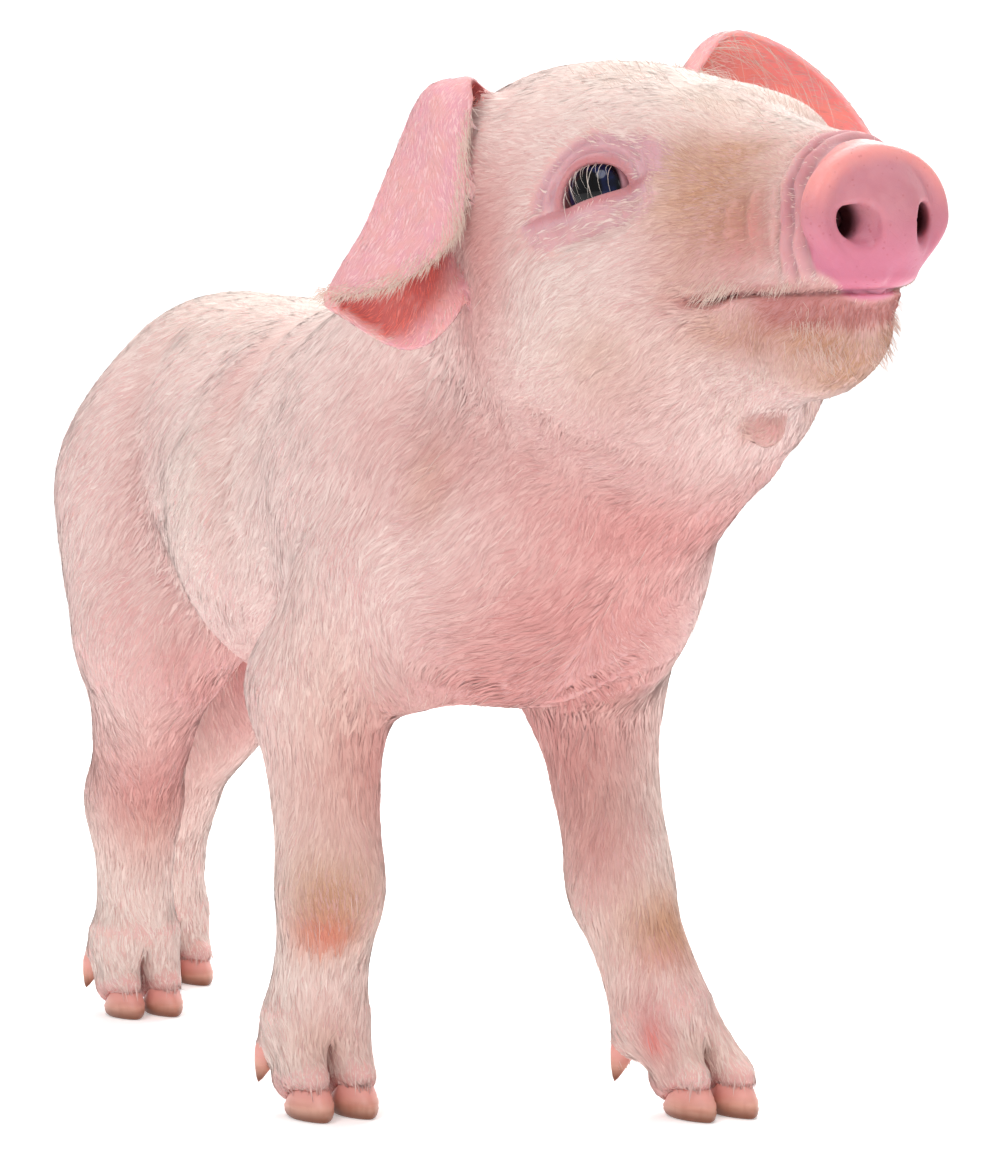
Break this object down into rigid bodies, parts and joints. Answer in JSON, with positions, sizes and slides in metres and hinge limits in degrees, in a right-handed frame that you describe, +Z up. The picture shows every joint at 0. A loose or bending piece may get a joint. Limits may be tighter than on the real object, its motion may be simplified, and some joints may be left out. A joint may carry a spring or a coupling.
{
  "type": "piglet model",
  "caption": "Life-size young white pig standing with its head raised, pricked and folded ears, cloven feet and a thin tail; a still museum-style model.",
  "frame": {"origin": "middle of the bounding box, on the floor under the belly", "axes": "+Z up, the piglet faces -Y, +X is its own left side"},
  "size_m": [0.1428, 0.41, 0.2477],
  "materials": {
    "skin": "pale skin under a short cream coat",
    "bare_skin": "moist bare skin",
    "horn": "satin horn",
    "eye": "wet gloss"
  },
  "bodies": {
    "root": {"torso": "skin", "neck": "skin", "head": "skin", "snout_disc": "bare_skin", "eye_right": "eye", "eye_left": "eye", "ear_right": "skin", "ear_left": "skin", "tail": "skin", "leg_front_right": "skin", "claw_front_right_right": "horn", "dewclaw_front_right_right": "horn", "claw_front_right_left": "horn", "dewclaw_front_right_left": "horn", "leg_front_left": "skin", "claw_front_left_right": "horn", "dewclaw_front_left_right": "horn", "claw_front_left_left": "horn", "dewclaw_front_left_left": "horn", "leg_hind_right": "skin", "claw_hind_right_right": "horn", "dewclaw_hind_right_right": "horn", "claw_hind_right_left": "horn", "dewclaw_hind_right_left": "horn", "leg_hind_left": "skin", "claw_hind_left_right": "horn", "dewclaw_hind_left_right": "horn", "claw_hind_left_left": "horn", "dewclaw_hind_left_left": "horn"}
  },
  "joints": []
}
